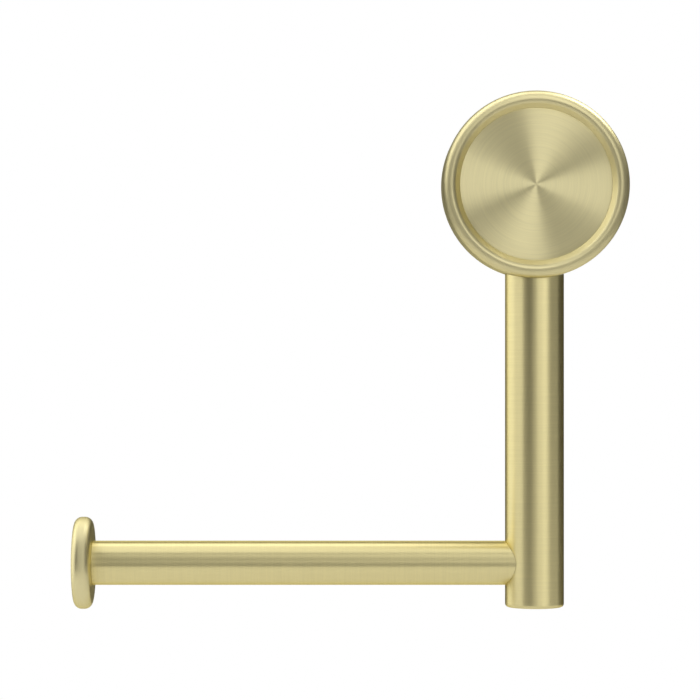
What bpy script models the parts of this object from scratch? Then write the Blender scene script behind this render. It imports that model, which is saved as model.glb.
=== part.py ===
"""Wall-mounted toilet paper holder: a round head on a post, a drop tube under it and a side bar.

The origin is the centre of the wall bracket's back face, on the wall. +Z is up, -Y points out
from the wall, and the bar runs towards -X with a button at its tip. Sizes are in metres.

Three bodies: wall_mount stays on the wall, holder slides off it towards -Y, and grub_screw,
which locks the holder, backs out of the wall flange towards -Z.
"""

import math
from collections import namedtuple

import bmesh
import bpy

MM = 0.001

# Layout
REACH = 65 * MM  # wall to the axes of the drop tube and the bar
BAR_DROP = 102.6 * MM  # axis of the drum down to the axis of the bar
ROLL_SPAN = 112.2 * MM  # free length of bar between the drop tube and the end cap
TUBE_TAIL = 12 * MM  # drop tube below the axis of the bar

# Clearances
SEAM = 0.3 * MM  # gap between two pieces that touch
BRACKET_GAP = 0.5 * MM  # front of the bracket to the floor of the flange
SLOT_OVERRUN = 1 * MM  # how far a cutter runs past the face it opens

# Drum and face plate
DRUM_DIAMETER = 50.5 * MM
DRUM_BEHIND_TUBE = 1 * MM  # drum that stands behind the back of the drop tube
DRUM_BEFORE_TUBE = 2 * MM  # drum that stands in front of the front of the drop tube
DRUM_SEAT_LAND = 0.45 * MM  # metal left beside the seat of the drop tube's screw
DRUM_WALL = 6.75 * MM
DRUM_FLOOR = 4 * MM
DRUM_BACK_EDGE = 3.5 * MM
BEAD_WIDTH = 4.65 * MM
FACE_RECESS = 1.7 * MM  # face plate below the crest of the bead
FACE_THICKNESS = 3 * MM
FACE_EDGE = 0.25 * MM
RING_SECTION = 1.3 * MM  # rubber ring in the edge of the face plate

# Drop tube and bar
TUBE_DIAMETER = 16 * MM
TUBE_WALL = 1.5 * MM
TUBE_FLOOR = 2 * MM
TUBE_EDGE = 1 * MM
TUBE_PLUG_LENGTH = 14 * MM
BAR_DIAMETER = 12 * MM
BAR_WALL = 1.2 * MM
BAR_PLUG_LENGTH = 12 * MM
SPIGOT_NOSE_DIAMETER = 6 * MM
SPIGOT_NOSE_PROUD = 1 * MM  # nose past the inside of the drop tube's wall
CAP_DIAMETER = 25 * MM
CAP_THICKNESS = 5 * MM
CAP_EDGE = 2.1 * MM
CAP_HOLE_DEPTH = 3.2 * MM

# Post and wall flange
POST_DIAMETER = 20 * MM
POST_WALL = 1.5 * MM
POST_PLUG_LENGTH = 12 * MM
FLANGE_DIAMETER = 40 * MM
FLANGE_WALL = 3.5 * MM
FLANGE_FLOOR = 3 * MM
FLANGE_EDGE = 1.5 * MM

# Wall bracket and its fixings
BRACKET_THICKNESS = 7 * MM
BRACKET_FLAT = 0.7 * MM  # depth of the flat that the grub screw meets
BRACKET_HOLE_FROM_RIM = 6.2 * MM
BRACKET_COUNTERBORE = 3.5 * MM
WALL_SCREW_LENGTH = 30 * MM
WALL_SCREW_POINT = 5 * MM
WALL_SCREW_TIP = 0.8 * MM
WALL_SCREW_SLOT = 1 * MM
WALL_PLUG_DIAMETER = 7 * MM
WALL_PLUG_LENGTH = 25 * MM
WALL_PLUG_INSET = 2.5 * MM  # plug below the face of the wall, under the tile's glaze
WALL_PLUG_RIB = 0.4 * MM
WALL_PLUG_RIBS = 4
WALL_PLUG_SPLIT = 1.2 * MM

# Dowels that stop the post from turning
DOWEL_DIAMETER = 2.5 * MM
DOWEL_LENGTH = 7 * MM
DOWEL_IN_FLOOR = 2 * MM
DOWEL_FROM_AXIS = 5.8 * MM

# Bought screws: thread, head and the width across the flats of the hex key
Screw = namedtuple("Screw", "thread head_diameter head_height key_width")
M6_CAP = Screw(6 * MM, 10 * MM, 6 * MM, 5 * MM)
M5_CAP = Screw(5 * MM, 8.5 * MM, 5 * MM, 4 * MM)
M5_SUNK = Screw(5 * MM, 9.2 * MM, 2.1 * MM, 3 * MM)
WALL_SCREW = Screw(4 * MM, 7.5 * MM, 2.6 * MM, 0)
M4_GRUB = Screw(4 * MM, 4 * MM, 0, 2 * MM)
STUD_THREAD = 5 * MM
M6_WASHER_THICKNESS = 1.6 * MM
M5_WASHER_THICKNESS = 1.2 * MM
SCREW_ENGAGEMENT = 8.5 * MM  # thread inside a plug
SCREW_CHAMFER = 0.4 * MM
TAP_DRILL_RUNOUT = 1.5 * MM  # hole past the tip of its screw
GRUB_RECESS = 0.4 * MM  # outer end of the grub screw below the flange's skin

# Facets
ROUND_BIG = 48
ROUND_TUBE = 32
ROUND_SMALL = 16
ARC_STEPS = 4
SHARP_ANGLE = math.radians(35)
MERGE = 0.00001

# Which way a piece's own +Z points once it is placed
FRONTWARD = (math.pi / 2, 0, 0)
UPWARD = (0, 0, 0)
DOWNWARD = (math.pi, 0, 0)
LEFTWARD = (0, -math.pi / 2, 0)

# Worked out from the sizes above
DRUM_RADIUS = DRUM_DIAMETER / 2
TUBE_RADIUS = TUBE_DIAMETER / 2
TUBE_BORE = TUBE_RADIUS - TUBE_WALL
BAR_RADIUS = BAR_DIAMETER / 2
BAR_BORE = BAR_RADIUS - BAR_WALL
POST_BORE = POST_DIAMETER / 2 - POST_WALL
FLANGE_BORE = FLANGE_DIAMETER / 2 - FLANGE_WALL
BRACKET_RADIUS = FLANGE_BORE - SEAM
BRACKET_FLAT_DISTANCE = BRACKET_RADIUS - BRACKET_FLAT
FLANGE_INNER_FACE = BRACKET_THICKNESS + BRACKET_GAP
FLANGE_FRONT = FLANGE_INNER_FACE + FLANGE_FLOOR
DRUM_SEAT = M5_CAP.head_diameter / 2 + SEAM + DRUM_SEAT_LAND
DRUM_BACK = REACH - max(TUBE_RADIUS + DRUM_BEHIND_TUBE, DRUM_SEAT + DRUM_FLOOR)
DRUM_FRONT = REACH + max(
    TUBE_RADIUS + DRUM_BEFORE_TUBE, DRUM_SEAT + SEAM + FACE_THICKNESS + FACE_RECESS
)
DRUM_BORE = DRUM_RADIUS - DRUM_WALL
DRUM_INNER_FACE = DRUM_BACK + DRUM_FLOOR
BEAD_RADIUS = BEAD_WIDTH / 2
FACE_RADIUS = DRUM_RADIUS - BEAD_WIDTH - SEAM
FACE_FRONT = DRUM_FRONT - FACE_RECESS
FACE_BACK = FACE_FRONT - FACE_THICKNESS
POST_BACK = FLANGE_FRONT + SEAM
POST_FRONT = DRUM_BACK - SEAM
TUBE_BOTTOM = -BAR_DROP - TUBE_TAIL
TUBE_PLUG_TOP = -DRUM_RADIUS - 3 * SEAM
BAR_START = TUBE_RADIUS + SEAM
CAP_INNER = TUBE_RADIUS + ROLL_SPAN
CAP_OUTER = CAP_INNER + CAP_THICKNESS
BAR_END = CAP_INNER - SEAM
GRUB_DISTANCE = BRACKET_THICKNESS / 2 + SEAM  # grub screw's axis out from the wall
BRACKET_HOLE_FROM_AXIS = BRACKET_RADIUS - BRACKET_HOLE_FROM_RIM
SCREW_SIDES = (("left", -BRACKET_HOLE_FROM_AXIS), ("right", BRACKET_HOLE_FROM_AXIS))


# Outlines: lists of (radius, distance along the axis)


def arc(radius, along, size, first, last):
    """Points on an arc about (radius, along), from one angle to another in degrees."""
    points = []
    for step in range(ARC_STEPS + 1):
        angle = math.radians(first + (last - first) * step / ARC_STEPS)
        points.append((radius + size * math.cos(angle), along + size * math.sin(angle)))
    return points


def rod_outline(radius, start, end, edge):
    """A solid rod with a chamfer at both ends."""
    return [
        (0, start),
        (radius - edge, start),
        (radius, start + edge),
        (radius, end - edge),
        (radius - edge, end),
        (0, end),
    ]


def pipe_outline(radius, bore, start, end):
    """The closed section of a plain pipe."""
    return [(bore, start), (radius, start), (radius, end), (bore, end)]


def tapped_plug_outline(radius, hole_radius, mouth, hole_end, end):
    """A plug with a blind hole that opens at its mouth."""
    return [
        (0, hole_end),
        (hole_radius, hole_end),
        (hole_radius, mouth),
        (radius, mouth),
        (radius, end),
        (0, end),
    ]


def drum_skin(grow):
    """The outside of the drum from back to front, moved outwards by grow."""
    edge_centre = DRUM_RADIUS - DRUM_BACK_EDGE
    back_edge = arc(edge_centre, DRUM_BACK + DRUM_BACK_EDGE, DRUM_BACK_EDGE + grow, -90, 0)
    bead_centre = DRUM_RADIUS - BEAD_RADIUS
    bead = arc(bead_centre, DRUM_FRONT - BEAD_RADIUS, BEAD_RADIUS + grow, 0, 90)
    return back_edge + bead


# Making, placing and cutting


def add_object(name, shape, facing, location, parent):
    """Turns a bmesh into a placed object under its body's empty."""
    bmesh.ops.recalc_face_normals(shape, faces=shape.faces)
    mesh = bpy.data.meshes.new(name)
    shape.to_mesh(mesh)
    shape.free()
    mesh.shade_smooth()
    mesh.set_sharp_from_angle(angle=SHARP_ANGLE)
    piece = bpy.data.objects.new(name, mesh)
    piece.rotation_euler = facing
    piece.location = location
    piece.parent = parent
    bpy.context.scene.collection.objects.link(piece)
    return piece


def turned(name, outline, steps, facing, location, parent, ring=False):
    """A piece turned about its own Z axis. A ring's outline is closed and stays off the axis,
    and any other starts and ends on it with a flat, which is left as one face."""
    shape = bmesh.new()
    corners = [shape.verts.new((radius, 0, along)) for radius, along in outline]
    edges = [shape.edges.new(pair) for pair in zip(corners, corners[1:])]
    if ring:
        edges.append(shape.edges.new((corners[-1], corners[0])))
    bmesh.ops.spin(
        shape,
        geom=corners + edges,
        cent=(0, 0, 0),
        axis=(0, 0, 1),
        angle=2 * math.pi,
        steps=steps,
        use_merge=True,
    )
    bmesh.ops.remove_doubles(shape, verts=shape.verts, dist=MERGE)
    centres = [corner for corner in shape.verts if corner.co.xy.length < MERGE]
    bmesh.ops.dissolve_verts(shape, verts=centres)
    return add_object(name, shape, facing, location, parent)


def as_cutter(piece):
    """Keeps a helper out of the model."""
    piece.hide_render = True
    piece.display_type = "WIRE"
    return piece


def drill(name, radius, start, end, sides, facing, location, parent):
    """A straight round or polygonal cutter along its own Z axis."""
    outline = [(0, start), (radius, start), (radius, end), (0, end)]
    return as_cutter(turned(name, outline, sides, facing, location, parent))


def stepped_drill(name, screw, start, seat, end, facing, location, parent):
    """A cutter for a screw's shank, and from the seat on for its head."""
    shank = screw.thread / 2 + SEAM
    head = screw.head_diameter / 2 + SEAM
    outline = [(0, start), (shank, start), (shank, seat), (head, seat), (head, end), (0, end)]
    return as_cutter(turned(name, outline, ROUND_SMALL, facing, location, parent))


def hex_key(name, screw, start, end, facing, location, parent):
    """A cutter for a hexagon socket."""
    return drill(name, screw.key_width / math.sqrt(3), start, end, 6, facing, location, parent)


def block(name, size, centre, parent):
    """A rectangular cutter."""
    shape = bmesh.new()
    bmesh.ops.create_cube(shape, size=1)
    bmesh.ops.scale(shape, vec=size, verts=shape.verts)
    return as_cutter(add_object(name, shape, UPWARD, centre, parent))


def cut(piece, *cutters):
    for cutter in cutters:
        modifier = piece.modifiers.new(cutter.name, "BOOLEAN")
        modifier.operation = "DIFFERENCE"
        modifier.solver = "EXACT"
        modifier.object = cutter


# Finishes


def finish(piece, colour, roughness, metallic):
    material = bpy.data.materials.new(f"{piece.name}_finish")
    material.use_nodes = True
    shader = material.node_tree.nodes["Principled BSDF"]
    shader.inputs["Base Color"].default_value = (*colour, 1)
    shader.inputs["Roughness"].default_value = roughness
    shader.inputs["Metallic"].default_value = metallic
    piece.data.materials.append(material)
    return piece


def brushed_brass(piece):
    return finish(piece, (0.67, 0.60, 0.31), 0.32, 1.0)


def cast_zinc(piece):
    return finish(piece, (0.42, 0.43, 0.45), 0.5, 1.0)


def bare_brass(piece):
    return finish(piece, (0.60, 0.42, 0.16), 0.4, 1.0)


def stainless(piece):
    return finish(piece, (0.55, 0.55, 0.54), 0.35, 1.0)


def grey_nylon(piece):
    return finish(piece, (0.45, 0.46, 0.47), 0.55, 0.0)


def black_rubber(piece):
    return finish(piece, (0.02, 0.02, 0.02), 0.7, 0.0)


# Screws and washers, head towards their own +Z


def cap_screw(name, screw, seat, tip, facing, location, parent):
    head = screw.head_diameter / 2
    shank = screw.thread / 2
    top = seat + screw.head_height
    outline = [
        (0, tip),
        (shank - SCREW_CHAMFER, tip),
        (shank, tip + SCREW_CHAMFER),
        (shank, seat),
        (head, seat),
        (head, top - SCREW_CHAMFER),
        (head - SCREW_CHAMFER, top),
        (0, top),
    ]
    piece = turned(name, outline, ROUND_SMALL, facing, location, parent)
    socket = top - screw.head_height / 2
    cut(piece, hex_key(f"{name}_key", screw, socket, top + SLOT_OVERRUN, facing, location, parent))
    return stainless(piece)


def washer(name, screw, thickness, start, facing, location, parent):
    bore = screw.thread / 2 + SEAM
    outline = pipe_outline(screw.head_diameter / 2, bore, start, start + thickness)
    return stainless(turned(name, outline, ROUND_SMALL, facing, location, parent, ring=True))


# Wall mount


def wall_bracket(body):
    """The zinc disc on the wall: two screw holes and a flat underneath for the grub screw."""
    outline = rod_outline(BRACKET_RADIUS, 0, BRACKET_THICKNESS, SEAM)
    piece = turned("wall_bracket", outline, ROUND_BIG, FRONTWARD, (0, 0, 0), body)
    over = SLOT_OVERRUN
    front = BRACKET_THICKNESS + over
    seat = BRACKET_THICKNESS - BRACKET_COUNTERBORE
    for side, x in SCREW_SIDES:
        name = f"bracket_hole_{side}"
        cut(piece, stepped_drill(name, WALL_SCREW, -over, seat, front, FRONTWARD, (x, 0, 0), body))
    flat_height = BRACKET_FLAT + over
    flat_size = (BRACKET_RADIUS, BRACKET_THICKNESS + 2 * over, flat_height)
    flat_centre = (0, -BRACKET_THICKNESS / 2, -BRACKET_FLAT_DISTANCE - flat_height / 2)
    cut(piece, block("bracket_flat", flat_size, flat_centre, body))
    return cast_zinc(piece)


def wall_screw(side, x, body):
    """A pan head screw with a cross slot, through the bracket into its plug."""
    seat = BRACKET_THICKNESS - BRACKET_COUNTERBORE + SEAM
    top = seat + WALL_SCREW.head_height
    tip = seat - WALL_SCREW_LENGTH
    shank = WALL_SCREW.thread / 2
    head = WALL_SCREW.head_diameter / 2
    outline = [
        (0, tip),
        (WALL_SCREW_TIP / 2, tip),
        (shank, tip + WALL_SCREW_POINT),
        (shank, seat),
        (head, seat),
        (head, seat + WALL_SCREW.head_height / 2),
        (head / 2, top),
        (0, top),
    ]
    name = f"wall_screw_{side}"
    piece = turned(name, outline, ROUND_SMALL, FRONTWARD, (x, 0, 0), body)
    slot_depth = WALL_SCREW.head_height / 2 + SLOT_OVERRUN
    slot_centre = (x, -top + WALL_SCREW.head_height / 2 - slot_depth / 2, 0)
    for way, size in (
        ("across", (head, slot_depth, WALL_SCREW_SLOT)),
        ("upright", (WALL_SCREW_SLOT, slot_depth, head)),
    ):
        cut(piece, block(f"{name}_{way}", size, slot_centre, body))
    return stainless(piece)


def wall_plug(side, x, body):
    """A ribbed nylon plug, split from its far end so that the screw can spread it."""
    radius = WALL_PLUG_DIAMETER / 2
    bore = WALL_SCREW.thread / 2 + SEAM
    front = -WALL_PLUG_INSET
    back = front - WALL_PLUG_LENGTH
    pitch = WALL_PLUG_LENGTH / (WALL_PLUG_RIBS + 1)
    outline = [(bore, back)]
    for rib in range(WALL_PLUG_RIBS):
        outline.append((radius - WALL_PLUG_RIB, back + rib * pitch))
        outline.append((radius, back + (rib + 1) * pitch))
    outline += [(radius - WALL_PLUG_RIB, front - pitch), (radius - WALL_PLUG_RIB, front)]
    outline.append((bore, front))
    name = f"wall_plug_{side}"
    piece = turned(name, outline, ROUND_SMALL, FRONTWARD, (x, 0, 0), body, ring=True)
    split_length = WALL_PLUG_LENGTH * 0.6 + SLOT_OVERRUN
    split_size = (WALL_PLUG_DIAMETER + 2 * SLOT_OVERRUN, split_length, WALL_PLUG_SPLIT)
    split_centre = (x, -back + SLOT_OVERRUN - split_length / 2, 0)
    cut(piece, block(f"{name}_split", split_size, split_centre, body))
    return grey_nylon(piece)


# Flange and post


def dowel_hole(name, floor_side, body, direction):
    """The cutter for a dowel: direction is +1 where the post lies in front of the floor."""
    near = floor_side - direction * (DOWEL_IN_FLOOR + SEAM)
    far = near + direction * (DOWEL_LENGTH + 2 * SEAM)
    place = (0, 0, DOWEL_FROM_AXIS)
    radius = DOWEL_DIAMETER / 2 + SEAM
    return drill(name, radius, min(near, far), max(near, far), ROUND_SMALL, FRONTWARD, place, body)


def dowel(name, floor_side, body, direction):
    near = floor_side - direction * DOWEL_IN_FLOOR
    far = near + direction * DOWEL_LENGTH
    outline = rod_outline(DOWEL_DIAMETER / 2, min(near, far), max(near, far), SEAM)
    place = (0, 0, DOWEL_FROM_AXIS)
    return stainless(turned(name, outline, ROUND_SMALL, FRONTWARD, place, body))


def wall_flange(body, hole):
    """The cup that slides over the bracket, with a countersunk hole through its floor."""
    shank = M5_SUNK.thread / 2 + SEAM
    mouth = M5_SUNK.head_diameter / 2 + SEAM + SEAM * math.sqrt(2)
    radius = FLANGE_DIAMETER / 2
    edge = arc(radius - FLANGE_EDGE, FLANGE_FRONT - FLANGE_EDGE, FLANGE_EDGE, 0, 90)
    outline = [(FLANGE_BORE, 0), (radius, 0)] + edge
    outline += [
        (shank, FLANGE_FRONT),
        (shank, FLANGE_INNER_FACE + mouth - shank),
        (mouth, FLANGE_INNER_FACE),
        (FLANGE_BORE, FLANGE_INNER_FACE),
    ]
    piece = turned("wall_flange", outline, ROUND_BIG, FRONTWARD, (0, 0, 0), body, ring=True)
    grub = M4_GRUB.thread / 2 + SEAM
    place = (0, -GRUB_DISTANCE, 0)
    inner = BRACKET_FLAT_DISTANCE
    outer = radius + SLOT_OVERRUN
    tapping = drill("flange_tapping", grub, inner, outer, ROUND_SMALL, DOWNWARD, place, body)
    cut(piece, tapping, hole)
    return brushed_brass(piece)


def flange_screw(body):
    """The countersunk screw from inside the flange into the post."""
    back = FLANGE_INNER_FACE + SEAM
    head = M5_SUNK.head_diameter / 2
    shank = M5_SUNK.thread / 2
    tip = POST_BACK + SCREW_ENGAGEMENT
    outline = [
        (0, back),
        (head, back),
        (shank, back + M5_SUNK.head_height),
        (shank, tip - SCREW_CHAMFER),
        (shank - SCREW_CHAMFER, tip),
        (0, tip),
    ]
    place = (0, 0, 0)
    piece = turned("flange_screw", outline, ROUND_SMALL, FRONTWARD, place, body)
    key_end = back + M5_SUNK.head_height * 0.8
    key_start = back - SLOT_OVERRUN
    cut(piece, hex_key("flange_screw_key", M5_SUNK, key_start, key_end, FRONTWARD, place, body))
    return stainless(piece)


def post(body):
    outline = pipe_outline(POST_DIAMETER / 2, POST_BORE, POST_BACK, POST_FRONT)
    return brushed_brass(turned("post", outline, ROUND_TUBE, FRONTWARD, (0, 0, 0), body, ring=True))


def post_plug(name, screw, mouth, direction, hole, body):
    """A tapped plug in one end of the post: direction is +1 where it reaches forwards."""
    hole_radius = screw.thread / 2 + SEAM
    hole_end = mouth + direction * (SCREW_ENGAGEMENT + TAP_DRILL_RUNOUT)
    end = mouth + direction * POST_PLUG_LENGTH
    outline = tapped_plug_outline(POST_BORE - SEAM, hole_radius, mouth, hole_end, end)
    piece = turned(name, outline, ROUND_TUBE, FRONTWARD, (0, 0, 0), body)
    cut(piece, hole)
    return bare_brass(piece)


# Drum


def drum(body, hole):
    """The round head: a cup with a half-round bead, a ledge for the face plate and screw holes."""
    shank = M6_CAP.thread / 2 + SEAM
    bead_centre = DRUM_RADIUS - BEAD_RADIUS
    inner_bead = arc(bead_centre, DRUM_FRONT - BEAD_RADIUS, BEAD_RADIUS, 90, 180)
    ledge = FACE_BACK - SEAM
    outline = [(shank, DRUM_BACK)] + drum_skin(0) + inner_bead[1:]
    outline += [
        (DRUM_RADIUS - BEAD_WIDTH, ledge),
        (DRUM_BORE, ledge),
        (DRUM_BORE, DRUM_INNER_FACE),
        (shank, DRUM_INNER_FACE),
    ]
    piece = turned("drum", outline, ROUND_BIG, FRONTWARD, (0, 0, 0), body, ring=True)
    below = -DRUM_RADIUS - SLOT_OVERRUN
    seat = -DRUM_BORE - SEAM
    place = (0, -REACH, 0)
    passage = stepped_drill("drum_passage", M5_CAP, below, seat, 0, UPWARD, place, body)
    cut(piece, passage, hole)
    return brushed_brass(piece)


def drum_fixing(body):
    """The cap screw and washer inside the drum that hold it to the post."""
    place = (0, 0, 0)
    start = DRUM_INNER_FACE + SEAM
    seat = start + M6_WASHER_THICKNESS + SEAM
    tip = POST_FRONT - SCREW_ENGAGEMENT
    washer("drum_screw_washer", M6_CAP, M6_WASHER_THICKNESS, start, FRONTWARD, place, body)
    cap_screw("drum_screw", M6_CAP, seat, tip, FRONTWARD, place, body)


def face_plate(body):
    """The turned disc inside the bead, with a groove in its edge for the rubber ring."""
    groove_floor = FACE_RADIUS - RING_SECTION - SEAM
    middle = (FACE_FRONT + FACE_BACK) / 2
    groove = RING_SECTION / 2 + SEAM
    outline = [
        (0, FACE_BACK),
        (FACE_RADIUS, FACE_BACK),
        (FACE_RADIUS, middle - groove),
        (groove_floor, middle - groove),
        (groove_floor, middle + groove),
        (FACE_RADIUS, middle + groove),
        (FACE_RADIUS, FACE_FRONT - FACE_EDGE),
        (FACE_RADIUS - FACE_EDGE, FACE_FRONT),
        (0, FACE_FRONT),
    ]
    return brushed_brass(turned("face_plate", outline, ROUND_BIG, FRONTWARD, (0, 0, 0), body))


def face_plate_ring(body):
    section = RING_SECTION / 2
    middle = (FACE_FRONT + FACE_BACK) / 2
    sides = 8
    outline = []
    for side in range(sides):
        angle = 2 * math.pi * side / sides
        along = middle + section * math.sin(angle)
        outline.append((FACE_RADIUS - section + section * math.cos(angle), along))
    place = (0, 0, 0)
    return black_rubber(turned("face_plate_ring", outline, ROUND_TUBE, FRONTWARD, place, body, ring=True))


# Drop tube


def drop_tube(body):
    """The closed-ended tube, saddle-cut to the drum, with a hole for the bar's spigot."""
    overlap = DRUM_RADIUS / 2
    outline = [(0, TUBE_BOTTOM)]
    outline += arc(TUBE_RADIUS - TUBE_EDGE, TUBE_BOTTOM + TUBE_EDGE, TUBE_EDGE, -90, 0)
    outline += [
        (TUBE_RADIUS, -overlap),
        (TUBE_BORE, -overlap),
        (TUBE_BORE, TUBE_BOTTOM + TUBE_FLOOR),
        (0, TUBE_BOTTOM + TUBE_FLOOR),
    ]
    place = (0, -REACH, 0)
    piece = turned("drop_tube", outline, ROUND_TUBE, UPWARD, place, body)
    skin = drum_skin(SEAM)
    skin = [(0, skin[0][1])] + skin + [(0, skin[-1][1])]
    saddle = as_cutter(turned("drop_tube_saddle", skin, ROUND_BIG, FRONTWARD, (0, 0, 0), body))
    nose = SPIGOT_NOSE_DIAMETER / 2 + SEAM
    reach = TUBE_RADIUS + SLOT_OVERRUN
    bar_place = (0, -REACH, -BAR_DROP)
    nose_hole = drill("drop_tube_nose_hole", nose, 0, reach, ROUND_SMALL, LEFTWARD, bar_place, body)
    cut(piece, saddle, nose_hole)
    return brushed_brass(piece)


def drop_tube_fixing(body):
    """The tapped plug in the tube's top, and the screw that draws it up against the drum."""
    place = (0, -REACH, 0)
    hole = M5_CAP.thread / 2 + SEAM
    tip = TUBE_PLUG_TOP - SCREW_ENGAGEMENT
    hole_end = tip - TAP_DRILL_RUNOUT
    end = TUBE_PLUG_TOP - TUBE_PLUG_LENGTH
    outline = tapped_plug_outline(TUBE_BORE - SEAM, hole, TUBE_PLUG_TOP, hole_end, end)
    bare_brass(turned("drop_tube_plug", outline, ROUND_TUBE, UPWARD, place, body))
    start = -DRUM_BORE
    seat = start + M5_WASHER_THICKNESS + SEAM
    washer("drop_tube_washer", M5_CAP, M5_WASHER_THICKNESS, start, UPWARD, place, body)
    cap_screw("drop_tube_screw", M5_CAP, seat, tip, UPWARD, place, body)


# Bar


def bar(body):
    """The roll's bar, saddle-cut to the drop tube."""
    place = (0, -REACH, -BAR_DROP)
    outline = pipe_outline(BAR_RADIUS, BAR_BORE, 0, BAR_END)
    piece = turned("bar", outline, ROUND_TUBE, LEFTWARD, place, body, ring=True)
    half = BAR_RADIUS + SLOT_OVERRUN
    radius = TUBE_RADIUS + SEAM
    cut(piece, drill("bar_saddle", radius, -half, half, ROUND_TUBE, UPWARD, place, body))
    return brushed_brass(piece)


def bar_root_spigot(body):
    """The plug brazed into the bar, with a nose through the drop tube's wall."""
    nose = SPIGOT_NOSE_DIAMETER / 2
    nose_end = TUBE_BORE - SPIGOT_NOSE_PROUD
    end = BAR_START + BAR_PLUG_LENGTH
    outline = [(0, nose_end), (nose, nose_end), (nose, BAR_START)]
    outline += [(BAR_BORE - SEAM, BAR_START), (BAR_BORE - SEAM, end), (0, end)]
    place = (0, -REACH, -BAR_DROP)
    return bare_brass(turned("bar_root_spigot", outline, ROUND_SMALL, LEFTWARD, place, body))


def bar_tip(body):
    """The tapped plug in the bar's tip, the end cap and the stud that joins them."""
    place = (0, -REACH, -BAR_DROP)
    hole = STUD_THREAD / 2 + SEAM
    stud_start = BAR_END - SCREW_ENGAGEMENT
    hole_end = stud_start - TAP_DRILL_RUNOUT
    plug_end = BAR_END - BAR_PLUG_LENGTH
    outline = tapped_plug_outline(BAR_BORE - SEAM, hole, BAR_END, hole_end, plug_end)
    bare_brass(turned("bar_tip_plug", outline, ROUND_SMALL, LEFTWARD, place, body))
    cap_hole_end = CAP_INNER + CAP_HOLE_DEPTH
    stud = rod_outline(STUD_THREAD / 2, stud_start, cap_hole_end - SEAM, SCREW_CHAMFER)
    stainless(turned("end_cap_stud", stud, ROUND_SMALL, LEFTWARD, place, body))
    edge_radius = CAP_DIAMETER / 2 - CAP_EDGE
    outline = [(0, cap_hole_end), (hole, cap_hole_end), (hole, CAP_INNER)]
    outline += arc(edge_radius, CAP_INNER + CAP_EDGE, CAP_EDGE, -90, 0)
    outline += arc(edge_radius, CAP_OUTER - CAP_EDGE, CAP_EDGE, 0, 90)
    outline.append((0, CAP_OUTER))
    brushed_brass(turned("end_cap", outline, ROUND_TUBE, LEFTWARD, place, body))


# Grub screw


def grub_screw(body):
    """The set screw in the underside of the flange, its tip against the bracket's flat."""
    place = (0, -GRUB_DISTANCE, 0)
    tip = BRACKET_FLAT_DISTANCE + SEAM
    end = FLANGE_DIAMETER / 2 - GRUB_RECESS
    outline = rod_outline(M4_GRUB.thread / 2, tip, end, SCREW_CHAMFER)
    piece = turned("grub_screw", outline, ROUND_SMALL, DOWNWARD, place, body)
    socket = (tip + end) / 2
    over = end + SLOT_OVERRUN
    cut(piece, hex_key("grub_screw_key", M4_GRUB, socket, over, DOWNWARD, place, body))
    return stainless(piece)


def body_empty(name, parent=None):
    """A moving body's frame: its pieces are children of it."""
    empty = bpy.data.objects.new(name, None)
    empty.parent = parent
    bpy.context.scene.collection.objects.link(empty)
    return empty


def clear_scene():
    for item in list(bpy.data.objects):
        bpy.data.objects.remove(item, do_unlink=True)


def main():
    clear_scene()
    wall_mount = body_empty("wall_mount_body")
    holder = body_empty("holder_body", wall_mount)
    lock = body_empty("grub_screw_body", holder)

    wall_bracket(wall_mount)
    for side, x in SCREW_SIDES:
        wall_screw(side, x, wall_mount)
        wall_plug(side, x, wall_mount)

    flange_hole = dowel_hole("flange_dowel_hole", FLANGE_FRONT, holder, 1)
    drum_hole = dowel_hole("drum_dowel_hole", DRUM_BACK, holder, -1)
    wall_flange(holder, flange_hole)
    flange_screw(holder)
    dowel("flange_dowel", FLANGE_FRONT, holder, 1)
    post(holder)
    post_plug("post_rear_plug", M5_SUNK, POST_BACK, 1, flange_hole, holder)
    post_plug("post_front_plug", M6_CAP, POST_FRONT, -1, drum_hole, holder)
    dowel("drum_dowel", DRUM_BACK, holder, -1)
    drum(holder, drum_hole)
    drum_fixing(holder)
    face_plate(holder)
    face_plate_ring(holder)
    drop_tube(holder)
    drop_tube_fixing(holder)
    bar(holder)
    bar_root_spigot(holder)
    bar_tip(holder)

    grub_screw(lock)


main()
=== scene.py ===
"""Looks of a wall-mounted toilet paper holder in brushed brass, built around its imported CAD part.

The frame is the CAD part's own: the wall is the plane Y = 0, -Y points out from the wall, +Z is
up and the bar runs towards -X. Every piece takes its place from the boxes of the CAD nodes.
"""

import math

import bmesh
import bpy
from mathutils import Matrix, Vector


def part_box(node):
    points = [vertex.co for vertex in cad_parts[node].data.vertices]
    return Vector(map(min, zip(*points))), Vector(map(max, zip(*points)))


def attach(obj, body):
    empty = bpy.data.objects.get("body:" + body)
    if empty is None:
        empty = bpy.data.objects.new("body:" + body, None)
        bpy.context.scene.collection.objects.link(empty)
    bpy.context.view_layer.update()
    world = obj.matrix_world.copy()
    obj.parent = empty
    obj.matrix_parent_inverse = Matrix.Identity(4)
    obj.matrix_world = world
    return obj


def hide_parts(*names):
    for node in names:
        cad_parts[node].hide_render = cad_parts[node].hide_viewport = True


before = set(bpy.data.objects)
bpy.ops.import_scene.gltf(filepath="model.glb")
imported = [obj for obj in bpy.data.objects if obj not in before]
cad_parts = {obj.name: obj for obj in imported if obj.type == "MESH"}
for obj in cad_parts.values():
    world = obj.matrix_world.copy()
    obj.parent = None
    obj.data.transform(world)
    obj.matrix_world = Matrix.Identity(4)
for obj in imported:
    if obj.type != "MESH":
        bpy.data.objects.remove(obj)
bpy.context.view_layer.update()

bl_info = {
    "name": "Toilet Paper Holder",
    "version": (1, 0, 0),
    "blender": (4, 5, 0),
    "location": "3D View > Sidebar > Paper Holder",
    "description": "Builds a brushed brass toilet paper holder piece by piece",
    "category": "Add Mesh",
}

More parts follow.
